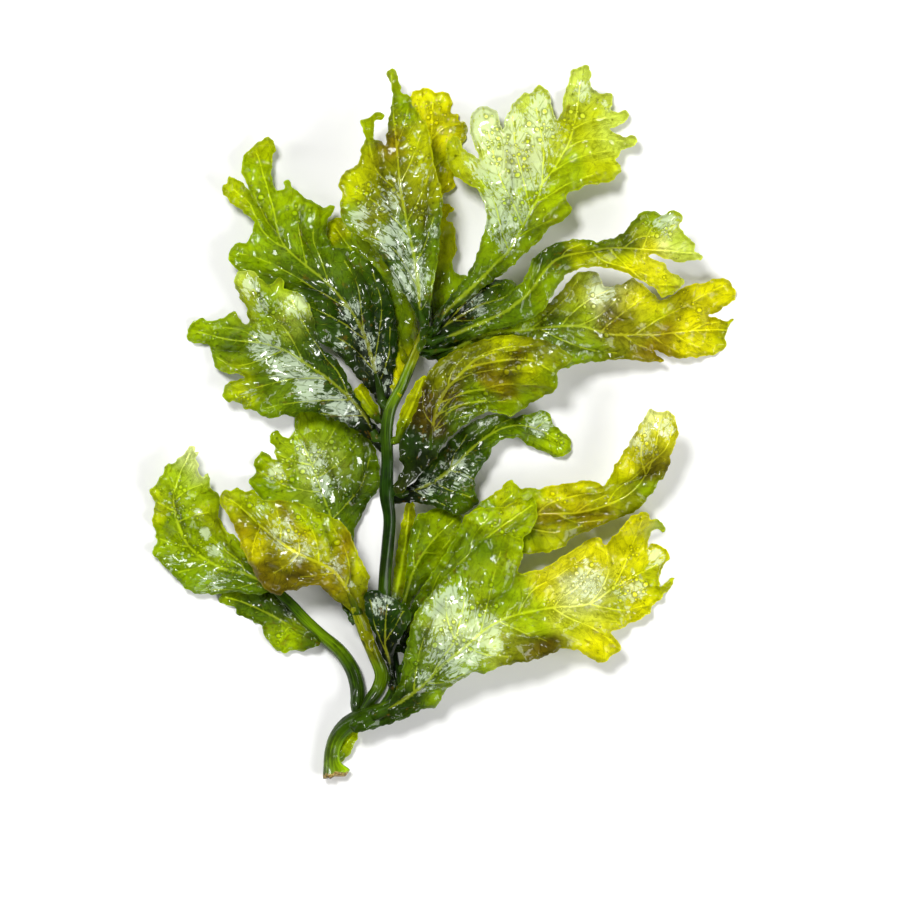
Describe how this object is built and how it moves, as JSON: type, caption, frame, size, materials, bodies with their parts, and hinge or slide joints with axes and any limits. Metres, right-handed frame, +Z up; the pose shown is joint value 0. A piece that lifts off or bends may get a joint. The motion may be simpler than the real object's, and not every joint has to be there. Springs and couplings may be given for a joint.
{
  "type": "sea lettuce sprig",
  "caption": "Picked sprig of green seaweed laid flat: a short forked stipe with thin, ruffled, glossy blades.",
  "frame": {"origin": "on the surface that the sprig lies on, under the centre of its bounding box", "axes": "+Y from the cut foot to the highest tips, +X to the sprig's right seen from above, +Z up from the surface"},
  "size_m": [0.1818, 0.2222, 0.0335],
  "materials": {
    "stem": "wet, glossy, dark green alga flesh",
    "yellow_blade": "wet, glossy, translucent yellow-green alga blade",
    "green_blade": "wet, glossy, translucent green alga blade",
    "deep_green_blade": "wet, glossy, dark green alga blade",
    "olive_blade": "wet, glossy, olive brown alga blade"
  },
  "bodies": {
    "root": {"stipe_foot": "stem", "stipe_main": "stem", "branch_left": "stem", "branch_folded": "stem", "twig_right": "stem", "blade_top_back": "yellow_blade", "blade_upper_left_back": "yellow_blade", "blade_top_right": "yellow_blade", "blade_right_upper": "yellow_blade", "blade_long_right": "yellow_blade", "blade_lower_middle": "yellow_blade", "blade_lower_right": "yellow_blade", "blade_inner_slim": "yellow_blade", "leaflet_left": "yellow_blade", "leaflet_right": "yellow_blade", "leaflet_foot": "yellow_blade", "blade_upper_left": "green_blade", "blade_left": "green_blade", "blade_mid_left": "green_blade", "blade_outer_left": "green_blade", "blade_under_left": "green_blade", "blade_inner_broad": "green_blade", "blade_dark_right": "deep_green_blade", "blade_right_small": "deep_green_blade", "sheath": "deep_green_blade", "blade_top_centre": "olive_blade", "blade_right": "olive_blade", "blade_right_lower": "olive_blade", "blade_folded_left": "olive_blade"}
  },
  "joints": []
}
